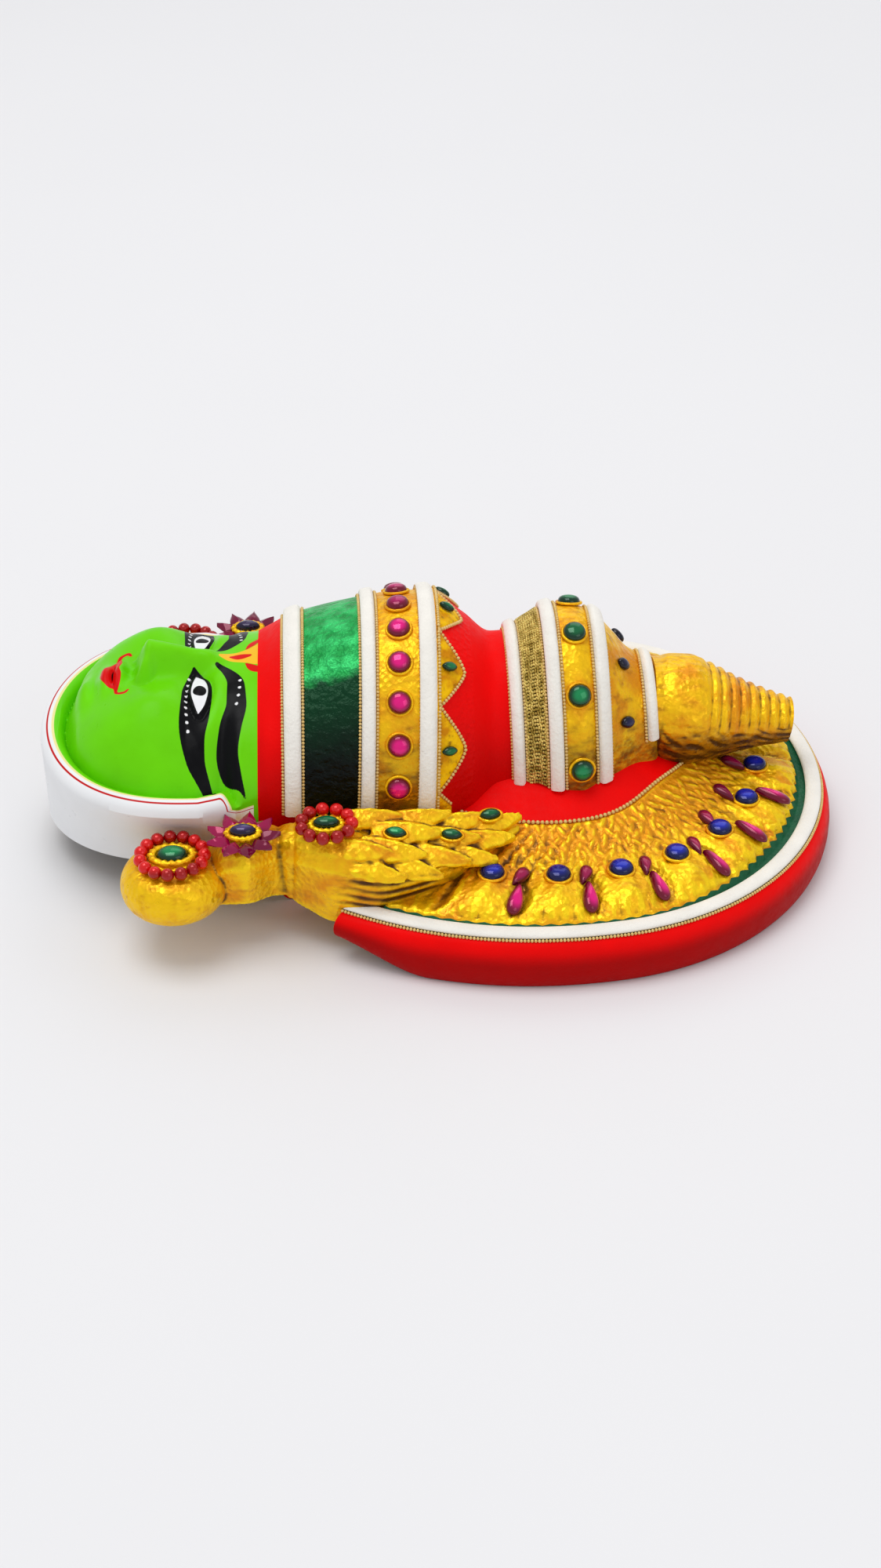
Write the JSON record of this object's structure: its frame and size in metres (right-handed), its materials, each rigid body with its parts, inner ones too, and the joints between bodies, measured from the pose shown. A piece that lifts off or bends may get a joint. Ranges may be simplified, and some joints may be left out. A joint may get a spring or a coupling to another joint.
{
  "type": "kathakali mask",
  "caption": "Painted dance-drama mask lying on its back: green face in a white jaw frame, banded jewelled crown with a finial, and a flared red-rimmed halo; hollow from behind.",
  "frame": {"origin": "on the floor under the middle of the mask's bounding box", "axes": "+X from the chin to the top of the crown, +Y to the mask's own right, +Z out of the face; the back lies on z = 0"},
  "size_m": [0.2999, 0.2118, 0.0996],
  "materials": {
    "painted_shell": "moulded fibre in satin paint: green face, white jaw frame, red and gold crown bands",
    "red_halo": "moulded fibre, red rim and inner skirt, gilded petal ring",
    "gilt": "gold paint over moulded relief, brown in the recesses",
    "white_trim": "cream-white half-round cord, matte",
    "ruby": "foil-backed acrylic stone, polished",
    "sapphire": "foil-backed acrylic stone, polished",
    "emerald": "foil-backed acrylic stone, polished",
    "red_bead": "glossy red beads and petals",
    "maroon_petal": "glossy maroon petals"
  },
  "bodies": {
    "root": {"head_and_crown": "painted_shell", "halo_dish": "red_halo", "ear_ornament_left": "gilt", "ear_ornament_right": "gilt", "halo_piping": "white_trim", "strip_1_brow": "white_trim", "strip_2": "white_trim", "strip_3": "white_trim", "strip_4": "white_trim", "strip_5": "white_trim", "strip_6": "white_trim", "strip_7_finial": "white_trim", "ruby_1": "ruby", "ruby_2": "ruby", "ruby_3": "ruby", "ruby_4": "ruby", "ruby_5": "ruby", "ruby_6": "ruby", "ruby_7": "ruby", "ruby_8": "ruby", "ruby_9": "ruby", "ruby_10": "ruby", "ruby_11": "ruby", "sapphire_left_1": "sapphire", "sapphire_left_2": "sapphire", "sapphire_left_3": "sapphire", "sapphire_left_4": "sapphire", "sapphire_left_5": "sapphire", "sapphire_left_6": "sapphire", "sapphire_left_7": "sapphire", "sapphire_right_1": "sapphire", "sapphire_right_2": "sapphire", "sapphire_right_3": "sapphire", "sapphire_right_4": "sapphire", "sapphire_right_5": "sapphire", "sapphire_right_6": "sapphire", "sapphire_right_7": "sapphire", "flower_stone_1_left": "sapphire", "flower_stone_1_right": "sapphire", "emerald_1": "emerald", "emerald_2": "emerald", "emerald_3": "emerald", "emerald_4": "emerald", "emerald_5": "emerald", "emerald_6": "emerald", "leaf_stone_1": "emerald", "leaf_stone_2": "emerald", "leaf_stone_3": "emerald", "leaf_stone_4": "emerald", "leaf_stone_5": "emerald", "boss_stone_left": "emerald", "boss_stone_right": "emerald", "flower_stone_2_left": "emerald", "flower_stone_2_right": "emerald", "boss_beads_left": "red_bead", "boss_beads_right": "red_bead", "flower_2_left": "red_bead", "flower_2_right": "red_bead", "flower_1_left": "maroon_petal", "flower_1_right": "maroon_petal"}
  },
  "joints": []
}
